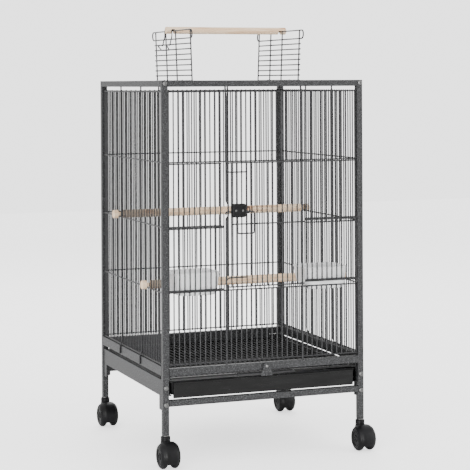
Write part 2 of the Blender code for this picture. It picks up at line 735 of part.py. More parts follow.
def make_top_perch():
    """Dowel that bridges the two open top doors, notched underneath for their wires."""
    edge, height = top_edge()
    reach = edge + TOP_PERCH_PAST
    centre = height + WIRE / 2 + GAP
    perch = cylinder("top_perch", TOP_PERCH_R, -reach, reach, 16, (0, 0, centre), ALONG_X)
    slack = WIRE / 2 + GAP
    notches = []
    for sx in (-1, 1):
        xs = sorted((sx * (edge + slack), sx * (edge - slack - NOTCH_INWARD)))
        notches.append(box("notch", (xs[0], -0.02, height - 0.02),
                           (xs[1], 0.02, height + slack)))
    finish(combine(perch, notches, "DIFFERENCE"), "wood")


# ---- Top doors ------------------------------------------------------------------------------
def make_top_door(side, sx):
    """Wire ladder that stands up from its hinge wire, with a stop band along its free edge."""
    half = WIRE / 2
    first, last = TOP_DOOR_WIRES[0], TOP_DOOR_WIRES[-1]
    past = last + TOP_BAND_PAST
    band = TOP_DOOR - TOP_BAND
    rungs = int((band - WIRE) / PITCH)
    heights = [band - PITCH * i for i in range(rungs, -1, -1)]
    outline = rectangle(first - half, last + half, heights[0] - half, TOP_DOOR + half)
    inside = (first + half, last - half)
    holes = [rectangle(*inside, z0 + half, z1 - half) for z0, z1 in zip(heights, heights[1:])]
    holes.append(rectangle(*inside, band + half, TOP_DOOR - half))
    hinge = Vector((sx * TOP_OPENING[0], 0, TOP_PLANE))
    door = plate(f"{side}_top_door", outline, holes, WIRE, hinge, "side")
    more = [hairpin(first + half, -past, band, TOP_BAND, hinge, "side"),
            hairpin(-last + half, -past, band, TOP_BAND, hinge, "side", -1)]
    for y in TOP_DOOR_WIRES[1:-1]:
        xs = sorted((-sx * (STAY_OUT - half), -sx * (STAY_OUT + half)))
        more.append(box("upright", (hinge.x + xs[0], y - half, TOP_PLANE + heights[0]),
                        (hinge.x + xs[1], y + half, TOP_PLANE + TOP_DOOR)))
        for height in (heights[0], TOP_DOOR):
            xs = sorted((sx * half * 0.6, -sx * (STAY_OUT + half * 0.6)))
            more.append(box("weld", (hinge.x + xs[0], y - half * 0.7, TOP_PLANE + height - half * 0.7),
                            (hinge.x + xs[1], y + half * 0.7, TOP_PLANE + height + half * 0.7)))
    inner = half * math.sqrt(2) + GAP
    for sy in (-1, 1):
        more.append(eye("eye", (hinge.x, sy * TOP_EYE_Y, TOP_PLANE), "front", 0.006, inner))
        stem_low = inner + EYE_WALL / 2
        stem = box("stem", (hinge.x - half * 0.8, sy * TOP_EYE_Y - half, TOP_PLANE + stem_low),
                   (hinge.x + half * 0.8, sy * TOP_EYE_Y + half, TOP_PLANE + heights[0]))
        more.append(stem)
    door = combine(door, more)
    door.data.transform(door.matrix_basis.to_3x3().to_4x4())
    door.rotation_euler = (0, sx * TOP_DOOR_SPLAY, 0)
    finish(door, "wire")


def make_hook():
    """Bent wire that hangs from the left door's free wire and clips the closed doors."""
    edge, height = top_edge()
    over = (WIRE + HOOK_WIRE) / 2 + RUN
    first, last = HOOK_SHAPE[0][0], HOOK_SHAPE[-1][0]
    path = [(over, first, 0.0), (over, first, over), (-over, first, over)]
    path += [(-over, y, z) for y, z in HOOK_SHAPE]
    path += [(-over, last, over), (over, last, over), (over, last, 0.0)]
    hook = wire("top_door_hook", rounded(path, HOOK_BEND, 1), HOOK_WIRE, 6, (-edge, 0, height))
    finish(hook, "wire")


# ---- Floor grate and tray -------------------------------------------------------------------
def make_grate():
    """Wire floor that slides out under the front rail, with a flat pull and a lug in front."""
    side = IN_X - TRAY_SIDE_GAP
    back, front = IN_Y - GAP, -IN_Y - TUBE / 2
    wide, reach = GRATE_HANDLE
    bars = [x for x in wire_places(2 * IN_X) if abs(x) < side - PITCH / 2]
    half = WIRE / 2
    rows = [-side + GRATE_BAR - half, *bars, side - GRATE_BAR + half]
    holes = [rectangle(a + half, b - half, front + GRATE_BAR, back - GRATE_BAR)
             for a, b in zip(rows, rows[1:])]
    thick = GRATE_Z[1] - GRATE_Z[0]
    where = (0, 0, sum(GRATE_Z) / 2)
    grate = plate("floor_grate", rectangle(-side, side, front, back), holes, thick, where)
    pull = [(-wide, front - reach), (wide, front - reach), (wide, front + GRATE_BAR / 2),
            (wide - GRATE_BAR, front + GRATE_BAR / 2), (wide - GRATE_BAR, front - reach + GRATE_BAR),
            (GRATE_BAR - wide, front - reach + GRATE_BAR), (GRATE_BAR - wide, front + GRATE_BAR / 2),
            (-wide, front + GRATE_BAR / 2)]
    handle = plate("pull", pull, (), thick * 0.8, where)
    face = front - reach
    lug = box("lug", (-LUG[0], face - SHEET, GRATE_Z[0] + SHEET / 4), (LUG[0], face + SHEET, LUG[1]))
    grate = combine(grate, [handle, lug])
    pin_hole = cylinder("catch_hole", 0.0019, -0.006, 0.006, 8, (0, face, CATCH_Z), ALONG_Y)
    cut_by(grate, pin_hole)
    finish(grate, "wire")
    return face - SHEET


def make_catch(face):
    """Riveted tab that hangs in front of the tray and swings aside."""
    low, high = CATCH_LOW - CATCH_Z, CATCH_R
    arc = [math.radians(a) for a in (-20, 15, 50, 90, 130, 165, 200)]
    outline = [(-CATCH_FOOT, low), (CATCH_FOOT, low), (CATCH_FOOT * 0.9, low * 0.55)]
    outline += [(high * math.cos(a), high * math.sin(a)) for a in arc]
    outline += [(-CATCH_FOOT * 0.9, low * 0.55)]
    where = (0, face - GAP - SHEET / 2, CATCH_Z)
    tab = plate("grate_catch", outline, (), SHEET, where, "front")
    rivet = turned("rivet", [(0.0, SHEET * 1.6), (0.002, SHEET * 1.5), (0.003, SHEET * 0.4),
                             (0.0015, SHEET * 0.3), (0.0015, -SHEET * 2), (0.0, -SHEET * 2)],
                   8, where, ALONG_Y)
    finish(combine(tab, [baked(rivet)]), "frame")


def make_tray():
    """Shallow tray with a deeper front panel; it slides on the runners' lower lips."""
    side = IN_X - TRAY_SIDE_GAP
    front, back = -IN_Y - TUBE / 2, IN_Y - 2 * GAP
    low, high = TRAY_Z
    shape = cube_bmesh((2 * side, back - front, high - low))
    bmesh.ops.delete(shape, geom=[f for f in shape.faces if f.normal.z > 0.5],
                     context="FACES_ONLY")
    bmesh.ops.bevel(shape, geom=list(shape.edges), offset=0.004, segments=2, profile=0.5,
                    affect="EDGES")
    tray = place(from_bmesh("tray", shape), (0, (front + back) / 2, (low + high) / 2))
    shell = tray.modifiers.new("wall", "SOLIDIFY")
    shell.thickness = TRAY_WALL
    shell.offset = -1.0
    shell.use_even_offset = True
    reach = IN_X - TRAY_FACE_INSET
    panel = box("panel", (-reach, front - TRAY_FACE_THICK, TRAY_FACE[0]),
                (reach, front + TRAY_WALL * 0.6, TRAY_FACE[1]))
    finish(combine(baked(tray), [panel]), "plastic")


# ---- Casters --------------------------------------------------------------------------------
def caster_housing():
    """Hood over both wheels, middle web and collar, about the swivel axis at floor level."""
    axle = (0, -TRAIL, WHEEL_R)
    body = cylinder("housing", HOOD_R, -HOOD_HALF, HOOD_HALF, 20, axle, ALONG_X)
    collar = cylinder("collar", COLLAR_R, WHEEL_R, COLLAR_TOP, 14)
    body = combine(body, [collar])
    space = WHEEL_R + RUN
    cuts = []
    for sx in (-1, 1):
        ends = sorted((sx * WEB_HALF, sx * (HOOD_HALF + 0.004)))
        cuts.append(cylinder("wheel_space", space, *ends, 20, axle, ALONG_X))
    cuts.append(box("below", (-0.03, -0.08, -0.01), (0.03, 0.04, HOOD_LOW)))
    cuts.append(cylinder("axle_hole", AXLE_R + RUN, -0.01, 0.01, 8, axle, ALONG_X))
    cuts.append(cylinder("stem_hole", STEM_R + RUN, STEM_LOW - GAP, COLLAR_TOP + 0.01, 10))
    body = combine(body, cuts, "DIFFERENCE")
    return body


def make_casters():
    """Four twin-wheel casters, all trailing towards the front."""
    inner, outer = WHEEL_INNER, WHEEL_INNER + WHEEL_WIDTH
    rim = WHEEL_R - WHEEL_EDGE
    half = [(0.0, outer), (rim, outer), (WHEEL_R, outer - WHEEL_EDGE),
            (WHEEL_R, inner), (AXLE_R, inner)]
    wheels = half + [(radius, -x) for radius, x in reversed(half)]
    stem = [(0.0, STEM_HIGH), (STEM_R, STEM_HIGH), (STEM_R, LEG_BOTTOM - GAP),
            (FLANGE_R, LEG_BOTTOM - GAP), (FLANGE_R, COLLAR_TOP + GAP),
            (STEM_R, COLLAR_TOP + GAP), (STEM_R, STEM_LOW), (0.0, STEM_LOW)]
    master = caster_housing()
    shape = master.data
    shape.transform(master.matrix_basis)
    bpy.data.objects.remove(master, do_unlink=True)
    for side, sx in (("left", -1), ("right", 1)):
        for end, sy in (("front", -1), ("back", 1)):
            x, y = sx * POST_X, sy * POST_Y
            name = f"{end}_{side}_caster"
            housing = bpy.data.objects.new(f"{name}_housing", shape.copy())
            housing.data.name = housing.name
            finish(place(housing, (x, y, 0)), "plastic")
            pair = turned(f"{name}_wheels", wheels, 16, (x, y - TRAIL, WHEEL_R), ALONG_X)
            finish(pair, "plastic")
            finish(turned(f"{name}_stem", stem, 10, (x, y, 0)), "zinc")


# ---- Build ----------------------------------------------------------------------------------
clear_scene()
PARTS = new_collection("bird_cage_on_stand")
CUTTERS = new_collection("cutters")
CAGE = bpy.data.objects.new("cage", None)
PARTS.objects.link(CAGE)
CAGE.location = (0, PLAN_SHIFT, 0)

make_posts()
make_rails()
for side_name, side_sign in (("left", -1), ("right", 1)):
    make_runner(side_name, side_sign)
    make_cup(side_name, side_sign)
    make_top_door(side_name, side_sign)
make_bolts()
make_grilles()
make_front_rods()
make_top_grille()
make_main_door()
make_latch()
make_feeder_doors()
make_perch("upper_perch", UPPER_PERCH_PITCHES, FEED_TOP)
make_perch("lower_perch", LOWER_PERCH_PITCHES, FEED_LOW)
make_top_perch()
make_hook()
make_catch(make_grate())
make_tray()
make_casters()
bpy.context.view_layer.update()
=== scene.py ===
"""Looks of the bird cage on stand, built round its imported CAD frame. Metres, +Z up, front at -Y."""
import math

import bmesh
import bpy
from mathutils import Matrix, Vector


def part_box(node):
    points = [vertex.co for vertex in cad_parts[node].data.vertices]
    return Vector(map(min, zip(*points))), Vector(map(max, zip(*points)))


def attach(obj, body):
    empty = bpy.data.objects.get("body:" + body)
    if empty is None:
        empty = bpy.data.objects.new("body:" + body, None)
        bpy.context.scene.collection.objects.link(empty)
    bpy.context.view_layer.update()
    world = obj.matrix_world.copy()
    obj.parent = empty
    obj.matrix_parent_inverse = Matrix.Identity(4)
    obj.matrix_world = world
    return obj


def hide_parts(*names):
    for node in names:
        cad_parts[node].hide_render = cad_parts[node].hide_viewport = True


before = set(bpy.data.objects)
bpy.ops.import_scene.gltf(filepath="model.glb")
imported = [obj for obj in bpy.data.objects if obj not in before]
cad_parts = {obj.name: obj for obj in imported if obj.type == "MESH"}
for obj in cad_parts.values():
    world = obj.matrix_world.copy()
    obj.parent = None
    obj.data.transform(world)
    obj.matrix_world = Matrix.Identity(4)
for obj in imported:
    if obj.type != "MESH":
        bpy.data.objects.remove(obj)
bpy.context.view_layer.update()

# ---- Sizes read from the frame --------------------------------------------------------------
LEFT_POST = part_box("front_left_post")[0]
BACK_POST, BACK_POST_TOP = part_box("back_right_post")
MIDDLE_Y = (LEFT_POST.y + BACK_POST_TOP.y) / 2   # middle of the tube frame
HALF = BACK_POST_TOP.x                           # outside of the tube frame
TUBE = BACK_POST_TOP.x - BACK_POST.x
INSIDE = HALF - TUBE
WALL_PLANE = HALF - TUBE / 2                     # plane of the grilles' upright wires
FRAME_TOP = BACK_POST_TOP.z
RAIL_LOW = FRAME_TOP - TUBE                      # underside of the top rails
ROOF = FRAME_TOP - TUBE / 2                      # plane of the top grille
UPPER_RAIL = [corner.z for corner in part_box("front_upper_rail")]
SIDE_RAIL = [corner.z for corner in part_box("left_side_rail")]
WIRE_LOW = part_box("front_grille_lower")[0].z
WIRE_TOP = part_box("front_grille_upper")[1].z
FEED_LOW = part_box("front_grille_lower")[1].z
FEED_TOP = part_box("front_grille_left")[0].z
DOOR_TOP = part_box("front_grille_upper")[0].z
ROD_X = sum(corner.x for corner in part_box("hinge_rod")) / 2
DOOR_LOW, DOOR_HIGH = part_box("main_door")
FREE_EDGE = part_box("left_top_door")[1].z         # top of the open roof doors

# ---- Sizes of the looks ---------------------------------------------------------------------
WIRE = 0.0029             # wires and rods are drawn thicker than the frame's, to read in a picture
ROD = 0.0037
SIDE_ROD = 0.0032
PITCH = 0.011
LAYER = 0.0021            # between the middles of two welded, crossing wires
FEEDER_OUT = 0.0025       # feeder doors' wires, outside the front grille's
DOOR_OUT = 0.0038         # front door's upright wires, outside the front grille's
ROD_OUT = 0.0030          # stiffening rods, outside the grilles' wires
SIDE_ROD_Y = 0.070        # side rods, to either side of the middle
TUBE_CORNER = 0.0015
OPENING_Y = 0.1175        # roof opening, to its front and back wires
HINGE_X = 0.120           # roof doors' hinge wires
DOOR_LENGTH = 0.1115      # roof door's hinge to its free wire
DOOR_SPLAY = math.radians(2.0)
FREE_EDGE_X = HINGE_X + DOOR_LENGTH * math.sin(DOOR_SPLAY)
DOOR_MIDDLE = 0.4736      # height of the front door's middle wire
BOLT_Z = 0.499            # height of the latch bolt
KEEPER_BULGE = (0.485, 0.521)   # heights between which the keeper rod stands out
GRATE_Z = 0.1721          # middle of the grate's wires
SHEET = 0.0012            # the grate's folded strips
TRAY_BASE = 0.1386
TRAY_TOP = 0.167
TREAD_DROP = 0.0075       # how far a wheel's tread falls away to its edges

# ---- Light ----------------------------------------------------------------------------------
DAYLIGHT = 1.5            # world's light on the object
BACKDROP = 2.6            # world as the camera sees it
FLOOR_GLOW = 1.4          # added to the floor as the camera sees it


# ---- Materials ------------------------------------------------------------------------------
def material(name, colour, roughness, metallic=0.0):
    """A Principled material, and the nodes, links and shader that its detail is added to."""
    skin = bpy.data.materials.new(name)
    skin.use_nodes = True
    tree = skin.node_tree
    shader = tree.nodes["Principled BSDF"]
    shader.inputs["Base Color"].default_value = (*colour, 1.0)
    shader.inputs["Roughness"].default_value = roughness
    shader.inputs["Metallic"].default_value = metallic
    return skin, tree, shader


def add(tree, kind, **settings):
    node = tree.nodes.new(kind)
    for name, value in settings.items():
        setattr(node, name, value)
    return node


def place_of(tree, scale=(1.0, 1.0, 1.0)):
    """Position on the piece, stretched along its axes."""
    source = add(tree, "ShaderNodeTexCoord")
    mapping = add(tree, "ShaderNodeMapping")
    mapping.inputs["Scale"].default_value = scale
    tree.links.new(source.outputs["Object"], mapping.inputs["Vector"])
    return mapping.outputs["Vector"]


def noise(tree, where, scale, detail=2.0, roughness=0.5, distortion=0.0):
    node = add(tree, "ShaderNodeTexNoise")
    tree.links.new(where, node.inputs["Vector"])
    node.inputs["Scale"].default_value = scale
    node.inputs["Detail"].default_value = detail
    node.inputs["Roughness"].default_value = roughness
    node.inputs["Distortion"].default_value = distortion
    return node.outputs["Fac"]


def ramp(tree, value, stops):
    """Colour ramp through (position, colour) stops."""
    node = add(tree, "ShaderNodeValToRGB")
    marks = node.color_ramp.elements
    while len(marks) < len(stops):
        marks.new(0.5)
    for mark, (position, colour) in zip(marks, stops):
        mark.position = position
        mark.color = (*colour, 1.0)
    tree.links.new(value, node.inputs["Fac"])
    return node.outputs["Color"]


def span(tree, value, low, high, start=0.0, end=1.0):
    """Maps a value's start to end range onto low to high."""
    node = add(tree, "ShaderNodeMapRange")
    node.inputs["From Min"].default_value = start
    node.inputs["From Max"].default_value = end
    node.inputs["To Min"].default_value = low
    node.inputs["To Max"].default_value = high
    tree.links.new(value, node.inputs["Value"])
    return node.outputs["Result"]


def bump(tree, shader, height, distance, strength=1.0):
    node = add(tree, "ShaderNodeBump")
    node.inputs["Distance"].default_value = distance
    node.inputs["Strength"].default_value = strength
    tree.links.new(height, node.inputs["Height"])
    tree.links.new(node.outputs["Normal"], shader.inputs["Normal"])


def hammered_paint():
    """Charcoal powder coat with a fine hammered texture and pale metallic flecks."""
    skin, tree, shader = material("hammered_paint", (0.03, 0.03, 0.032), 0.45, 0.2)
    where = place_of(tree)
    cells = add(tree, "ShaderNodeTexVoronoi", feature="SMOOTH_F1")
    cells.inputs["Scale"].default_value = 520.0
    tree.links.new(where, cells.inputs["Vector"])
    flecks = noise(tree, where, 620.0, 2.0, 0.6)
    colour = ramp(tree, flecks, [(0.36, (0.002, 0.002, 0.002)), (0.47, (0.007, 0.007, 0.008)),
                                 (0.55, (0.024, 0.025, 0.026)), (0.64, (0.095, 0.096, 0.100))])
    tree.links.new(colour, shader.inputs["Base Color"])
    tree.links.new(span(tree, flecks, 0.52, 0.38, 0.3, 0.7), shader.inputs["Roughness"])
    bump(tree, shader, cells.outputs["Distance"], 0.0003, 0.5)
    return skin


def wire_coat(name, dark, light, roughness):
    """Thin charcoal coat on wire, with slight runs in it."""
    skin, tree, shader = material(name, light, roughness, 0.2)
    where = place_of(tree)
    runs = noise(tree, where, 260.0, 3.0, 0.6)
    tree.links.new(ramp(tree, runs, [(0.3, dark), (0.7, light)]), shader.inputs["Base Color"])
    tree.links.new(span(tree, runs, roughness - 0.08, roughness + 0.08, 0.3, 0.7),
                   shader.inputs["Roughness"])
    bump(tree, shader, runs, 0.00015, 0.5)
    return skin


def moulded_black():
    """Black moulded plastic with a fine grain."""
    skin, tree, shader = material("moulded_black", (0.006, 0.006, 0.007), 0.42)
    shader.inputs["Specular IOR Level"].default_value = 0.16
    where = place_of(tree)
    grain = noise(tree, where, 1400.0, 2.0, 0.6)
    patches = noise(tree, where, 35.0, 4.0, 0.55)
    colour = ramp(tree, patches, [(0.3, (0.003, 0.003, 0.003)), (0.7, (0.008, 0.008, 0.009))])
    tree.links.new(colour, shader.inputs["Base Color"])
    tree.links.new(span(tree, patches, 0.34, 0.50, 0.3, 0.7), shader.inputs["Roughness"])
    bump(tree, shader, grain, 0.00012, 0.5)
    return skin


def glossy_black():
    """Glossy black plastic, slightly uneven where it was moulded."""
    skin, tree, shader = material("glossy_black", (0.004, 0.004, 0.004), 0.22)
    shader.inputs["Specular IOR Level"].default_value = 0.22
    waves = noise(tree, place_of(tree, (6.0, 6.0, 30.0)), 3.0, 4.0, 0.55)
    tree.links.new(ramp(tree, waves, [(0.3, (0.002, 0.002, 0.002)), (0.7, (0.007, 0.007, 0.007))]),
                   shader.inputs["Base Color"])
    tree.links.new(span(tree, waves, 0.16, 0.32, 0.3, 0.7), shader.inputs["Roughness"])
    bump(tree, shader, waves, 0.0006, 0.4)
    return skin


def cup_plastic():
    """Milky plastic that lets a little light through."""
    skin, tree, shader = material("cup_plastic", (0.88, 0.89, 0.90), 0.28)
    shader.inputs["Subsurface Weight"].default_value = 0.35
    shader.inputs["Subsurface Radius"].default_value = (0.02, 0.02, 0.02)
    shader.inputs["Subsurface Scale"].default_value = 0.5
    shader.inputs["Transmission Weight"].default_value = 0.10
    where = place_of(tree)
    haze = noise(tree, where, 60.0, 4.0, 0.6)
    scuffs = noise(tree, place_of(tree, (30.0, 4.0, 90.0)), 14.0, 5.0, 0.7)
    tree.links.new(ramp(tree, haze, [(0.3, (0.90, 0.91, 0.92)), (0.7, (0.96, 0.965, 0.97))]),
                   shader.inputs["Base Color"])
    tree.links.new(span(tree, scuffs, 0.20, 0.42, 0.35, 0.65), shader.inputs["Roughness"])
    bump(tree, shader, haze, 0.0003, 0.3)
    return skin


def pine():
    """Bare pine dowel: long pale grain, darker growth lines and a few reddish knots."""
    skin, tree, shader = material("pine", (0.80, 0.60, 0.42), 0.62)
    along = place_of(tree, (5.0, 90.0, 90.0))
    bands = noise(tree, along, 2.2, 4.0, 0.55, 0.6)
    fine = noise(tree, place_of(tree, (14.0, 420.0, 420.0)), 1.6, 4.0, 0.7)
    base = ramp(tree, bands, [(0.25, (0.58, 0.35, 0.19)), (0.45, (0.78, 0.56, 0.37)),
                              (0.62, (0.86, 0.68, 0.49)), (0.8, (0.72, 0.49, 0.31))])
    knots = add(tree, "ShaderNodeTexVoronoi", feature="F1")
    knots.inputs["Scale"].default_value = 1.0
    tree.links.new(place_of(tree, (13.0, 38.0, 38.0)), knots.inputs["Vector"])
    spot = ramp(tree, knots.outputs["Distance"],
                [(0.05, (0.36, 0.15, 0.08)), (0.17, (0.70, 0.45, 0.28)), (0.26, (1.0, 1.0, 1.0))])
    mix = add(tree, "ShaderNodeMix", data_type="RGBA", blend_type="MULTIPLY")
    mix.inputs["Factor"].default_value = 0.75
    tree.links.new(base, mix.inputs["A"])
    tree.links.new(spot, mix.inputs["B"])
    tree.links.new(mix.outputs["Result"], shader.inputs["Base Color"])
    tree.links.new(span(tree, fine, 0.52, 0.76, 0.3, 0.7), shader.inputs["Roughness"])
    bump(tree, shader, fine, 0.0003, 0.6)
    return skin


def zinc():
    """Bright zinc plating, slightly cloudy."""
    skin, tree, shader = material("zinc", (0.33, 0.33, 0.33), 0.35, 1.0)
    clouds = noise(tree, place_of(tree), 420.0, 3.0, 0.6)
    colour = ramp(tree, clouds, [(0.3, (0.10, 0.10, 0.10)), (0.7, (0.26, 0.26, 0.255))])
    tree.links.new(colour, shader.inputs["Base Color"])
    tree.links.new(span(tree, clouds, 0.28, 0.48, 0.3, 0.7), shader.inputs["Roughness"])
    return skin


def seen_by_camera(tree, brighter, otherwise):
    """One strength for what the camera sees straight, and another for the light that is cast."""
    path = add(tree, "ShaderNodeLightPath")
    return span(tree, path.outputs["Is Camera Ray"], otherwise, brighter)


def floor_paint():
    """Pale, even studio floor, lit from inside to the eye like a light table."""
    skin, tree, shader = material("studio_floor", (0.92, 0.92, 0.92), 0.7)
    shade = noise(tree, place_of(tree), 3.0)
    tree.links.new(ramp(tree, shade, [(0.0, (0.90, 0.90, 0.90)), (1.0, (0.94, 0.94, 0.94))]),
                   shader.inputs["Base Color"])
    shader.inputs["Emission Color"].default_value = (1.0, 1.0, 1.0, 1.0)
    tree.links.new(seen_by_camera(tree, FLOOR_GLOW, 0.0), shader.inputs["Emission Strength"])
    return skin


PAINT = hammered_paint()
BLACK_WIRE = wire_coat("wire_coat", (0.006, 0.006, 0.007), (0.028, 0.028, 0.030), 0.38)
# The grate's wires have the same coat as the others; this darker copy of it is painted shade on the
# grate under the cage.
SHADED_GRATE_WIRE = wire_coat("grate_coat_painted_shade", (0.002, 0.002, 0.002), (0.008, 0.008, 0.009), 0.62)
PLASTIC = moulded_black()
GLOSS = glossy_black()
CUP = cup_plastic()
PINE = pine()
ZINC = zinc()


# ---- Piece builders -------------------------------------------------------------------------
def settle(piece, skin, body, nodes=()):
    """Gives a piece its material, its body and the CAD nodes that it stands for."""
    piece.data.materials.clear()
    piece.data.materials.append(skin)
    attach(piece, body)
    if nodes:
        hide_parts(*nodes)


def link(name, data):
    """Puts an object in the scene, in the tube frame's own centred coordinates."""
    piece = bpy.data.objects.new(name, data)
    bpy.context.scene.collection.objects.link(piece)
    piece.location.y = MIDDLE_Y
    return piece


def centred_box(node):
    """A CAD node's corners in the tube frame's own centred coordinates."""
    low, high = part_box(node)
    shift = Vector((0, MIDDLE_Y, 0))
    return low - shift, high - shift


def from_bmesh(name, shape, sharp=35):
    """A smooth-shaded piece whose edges stay sharp above that angle."""
    bmesh.ops.recalc_face_normals(shape, faces=shape.faces)
    mesh = bpy.data.meshes.new(name)
    shape.to_mesh(mesh)
    shape.free()
    mesh.shade_smooth()
    mesh.set_sharp_from_angle(angle=math.radians(sharp))
    piece = link(name, mesh)
    piece.modifiers.new("flat_faces", "WEIGHTED_NORMAL").keep_sharp = True
    return piece


def wires(name, runs, diameter=WIRE, closed=False, smooth=3):
    """Round wires in one piece; each run is the list of points that its middle follows."""
    curve = bpy.data.curves.new(name, "CURVE")
    curve.dimensions = "3D"
    curve.bevel_depth = diameter / 2
    curve.bevel_resolution = smooth
    curve.use_fill_caps = True
    for run in runs:
        spline = curve.splines.new("POLY")
        spline.points.add(len(run) - 1)
        for point, where in zip(spline.points, run):
            point.co = (*where, 1.0)
        spline.use_cyclic_u = closed
        spline.use_smooth = True
    return link(name, curve)


def bent(points, radius, steps=6, closed=False):
    """A path whose corners are arcs of about that radius."""
    points = [Vector(point) for point in points]
    count = len(points)
    corners = range(count) if closed else range(1, count - 1)
    path = [] if closed else [points[0]]
    for i in corners:
        corner = points[i]
        before, after = points[i - 1] - corner, points[(i + 1) % count] - corner
        cut = min(radius, before.length * 0.49, after.length * 0.49)
        start = corner + before.normalized() * cut
        end = corner + after.normalized() * cut
        for step in range(steps + 1):
            t = step / steps
            path.append((1 - t) ** 2 * start + 2 * t * (1 - t) * corner + t ** 2 * end)
    return path if closed else [*path, points[-1]]


def arc(centre, radius, start, end, first, second, steps=12):
    """Points on an arc, in degrees, in the plane of two unit vectors."""
    centre, first, second = Vector(centre), Vector(first), Vector(second)
    path = []
    for i in range(steps + 1):
        turn = math.radians(start + (end - start) * i / steps)
        path.append(centre + radius * (math.cos(turn) * first + math.sin(turn) * second))
    return path


def turned(name, profile, steps=40, location=(0, 0, 0), rotation=(0, 0, 0), sharp=35):
    """A round piece: (radius, height) points from top to bottom, turned about local Z."""
    shape = bmesh.new()
    points = [shape.verts.new((radius, 0.0, height)) for radius, height in profile]
    edges = [shape.edges.new(pair) for pair in zip(points, points[1:])]
    bmesh.ops.spin(shape, geom=points + edges, axis=(0, 0, 1), cent=(0, 0, 0), dvec=(0, 0, 0),
                   angle=2 * math.pi, steps=steps, use_merge=True)
    bmesh.ops.remove_doubles(shape, verts=shape.verts, dist=0.000005)
    turn = Matrix.LocRotScale(Vector(location), None, None)
    for axis, angle in zip("XYZ", rotation):
        turn = turn @ Matrix.Rotation(angle, 4, axis)
    bmesh.ops.transform(shape, matrix=turn, verts=shape.verts)
    return from_bmesh(name, shape, sharp)


def soft_box(name, low, high, edge, segments=3, along=None):
    """A block with rounded edges, or with only its long edges rounded when along is given."""
    low, high = Vector(low), Vector(high)
    shape = bmesh.new()
    bmesh.ops.create_cube(shape, size=1.0)
    bmesh.ops.scale(shape, vec=high - low, verts=shape.verts)
    bmesh.ops.translate(shape, vec=(low + high) / 2, verts=shape.verts)
    edges = shape.edges[:]
    if along is not None:
        reach = (high - low)[along]
        edges = [e for e in edges if abs((e.verts[0].co - e.verts[1].co)[along]) > reach / 2]
    bmesh.ops.bevel(shape, geom=edges, offset=edge, segments=segments, profile=0.5, affect="EDGES")
    return from_bmesh(name, shape, 25)


def rounded_rectangle(half_x, half_y, radius, centre):
    """Ring of points of a rectangle with round corners, in a level plane."""
    ring = []
    for quarter, (sx, sy) in enumerate(((1, 1), (-1, 1), (-1, -1), (1, -1))):
        middle = Vector(centre) + Vector((sx * (half_x - radius), sy * (half_y - radius), 0))
        start = 90 * quarter
        ring += arc(middle, radius, start, start + 90, (1, 0, 0), (0, 1, 0), 6)
    return ring


def loft(name, rings, sharp=35):
    """A closed shell through rings of equal length, with a face across the first and last."""
    shape = bmesh.new()
    loops = [[shape.verts.new(point) for point in ring] for ring in rings]
    for lower, upper in zip(loops, loops[1:]):
        for i in range(len(lower)):
            j = (i + 1) % len(lower)
            shape.faces.new((lower[i], lower[j], upper[j], upper[i]))
    shape.faces.new(list(reversed(loops[0])))
    shape.faces.new(loops[-1])
    return from_bmesh(name, shape, sharp)


def join(name, pieces):
    """Several mesh pieces as one object."""
    shape = bmesh.new()
    for piece in pieces:
        shape.from_mesh(piece.data)
    whole = from_bmesh(name, shape)
    for piece in pieces:
        bpy.data.objects.remove(piece, do_unlink=True)
    return whole


def wire_places():
    """Places of a grille's wires, an even number about the middle."""
    gaps = int((2 * INSIDE - WIRE) / PITCH)
    gaps -= 1 - gaps % 2
    return [PITCH * (i - gaps / 2) for i in range(gaps + 1)]


PLACES = wire_places()
EDGE = PLACES[-1]


def outer_places():
    """(side, sign, places) of the wires beside the front door, on the left and on the right."""
    places = [x for x in PLACES if x > ROD_X + PITCH / 2]
    return ("left", -1, [-x for x in reversed(places)]), ("right", 1, places)


def front(x, z, out=0.0):
    return Vector((x, -WALL_PLANE - out, z))


def back(x, z, out=0.0):
    return Vector((x, WALL_PLANE + out, z))


def left(y, z, out=0.0):
    return Vector((-WALL_PLANE - out, y, z))


def right(y, z, out=0.0):
    return Vector((WALL_PLANE + out, y, z))


# ---- Tube frame -----------------------------------------------------------------------------
def make_frame():
    """Posts and rails as smooth tubes with rounded corners."""
    names = {f"{end}_{side}_post": 2 for end in ("front", "back") for side in ("left", "right")}
    names |= {f"{end}_{row}_rail": 0 for end in ("front", "back")
              for row in ("top", "upper", "lower")}
    names |= {f"{side}_{row}_rail": 1 for side in ("left", "right") for row in ("top", "side")}
    for name, along in names.items():
        tube = soft_box(f"{name}_tube", *centred_box(name), TUBE_CORNER, 3, along)
        settle(tube, PAINT, "cage", [name])
    for name in ("left_tray_runner", "right_tray_runner"):
        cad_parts[name].material_slots[0].material = PAINT


def make_bolts():
    """Round-headed bolts at the front, their plain shanks standing out behind the posts: a pale ring
    round a dark recess.
    """
    head = [(0.0, 0.0012), (0.0021, 0.0012), (0.0023, 0.0026), (0.0033, 0.0028), (0.0046, 0.0017),
            (0.0050, 0.0), (0.0020, 0.0), (0.0020, -0.0163), (0.0, -0.0163)]
    heights = {}
    for row in ("lower", "middle", "top"):
        lowest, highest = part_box(f"left_{row}_bolt")
        heights[row] = (lowest.z + highest.z) / 2
    for side, sx in (("left", -1), ("right", 1)):
        for row, height in heights.items():
            where = (sx * WALL_PLANE, -HALF, height)
            bolt = turned(f"{side}_{row}_bolt_smooth", head, 28, where, (math.pi / 2, 0, 0))
            settle(bolt, ZINC, "cage", [f"{side}_{row}_bolt"])


# ---- Grilles --------------------------------------------------------------------------------
def panel(name, where, places, low, high, rows, nodes):
    """Upright wires with level wires welded across them; rows are (height, layer)."""
    runs = [[where(place, low), where(place, high)] for place in places]
    first, last = places[0] - WIRE * 0.7, places[-1] + WIRE * 0.7
    runs += [[where(first, z, out), where(last, z, out)] for z, out in rows]
    settle(wires(name, runs), BLACK_WIRE, "cage", nodes)


